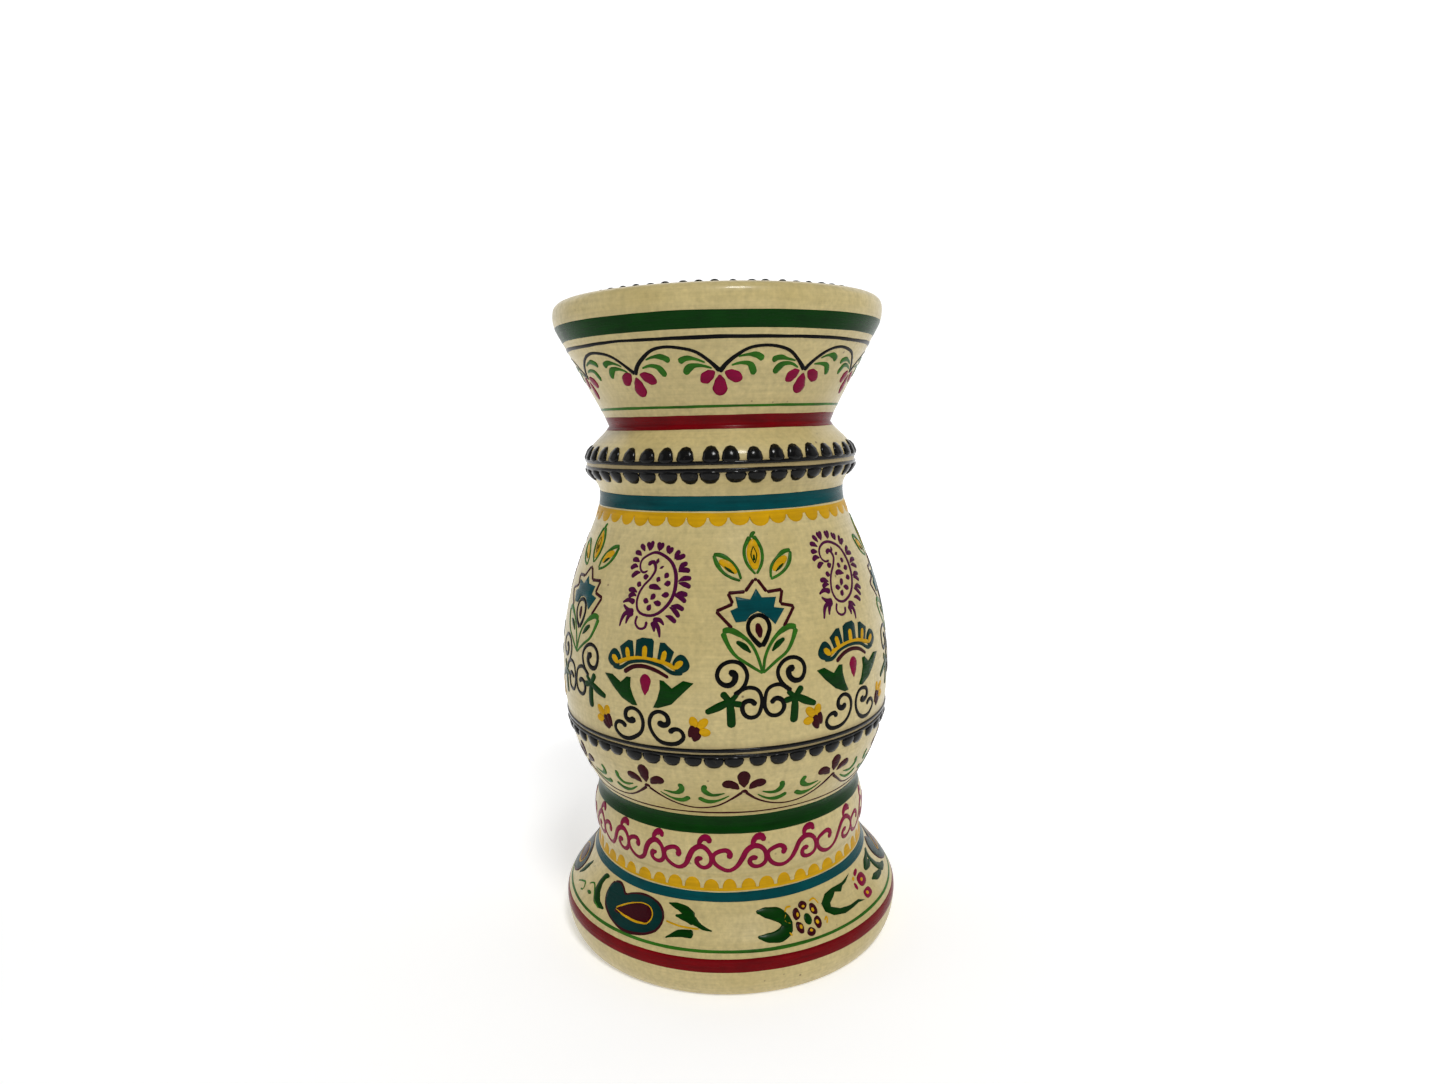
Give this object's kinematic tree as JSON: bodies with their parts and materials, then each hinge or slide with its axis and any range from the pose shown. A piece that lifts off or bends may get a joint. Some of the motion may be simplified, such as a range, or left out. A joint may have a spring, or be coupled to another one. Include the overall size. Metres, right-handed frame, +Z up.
{
  "type": "pillar candle holder",
  "caption": "Turned wooden pillar candle holder with flared foot, barrel belly, beaded collar and flared cup; hand-painted folk pattern.",
  "frame": {"origin": "centre of the underside, on the plane it rests on", "axes": "+Z up along the turning axis; -Y is the side facing the viewer"},
  "size_m": [0.1272, 0.1272, 0.225],
  "materials": {
    "painted_wood": "aged cream lacquer over turned wood, satin to glossy",
    "raised_black_paint": "thick glossy black enamel",
    "dowel_wood": "raw turned hardwood",
    "black_iron": "blackened sheet iron, satin",
    "screw_steel": "zinc plated",
    "felt": "dark green felt",
    "green_paint": "glossy green enamel",
    "red_paint": "glossy dark red enamel",
    "teal_paint": "glossy teal enamel",
    "gold_paint": "satin gold-yellow enamel",
    "magenta_paint": "glossy magenta enamel",
    "maroon_paint": "glossy maroon enamel",
    "black_paint": "glossy black enamel"
  },
  "bodies": {
    "root": {"foot": "painted_wood", "belly": "painted_wood", "top_cup": "painted_wood", "lower_dowel": "dowel_wood", "upper_dowel": "dowel_wood", "candle_liner": "black_iron", "liner_screw": "screw_steel", "felt_pad": "felt", "rim_dots": "raised_black_paint", "collar_beads_upper": "raised_black_paint", "collar_line_upper": "raised_black_paint", "collar_line_lower": "raised_black_paint", "collar_beads_lower": "raised_black_paint", "belly_line_upper": "raised_black_paint", "belly_line_lower": "raised_black_paint", "belly_beads": "raised_black_paint"}
  },
  "joints": []
}
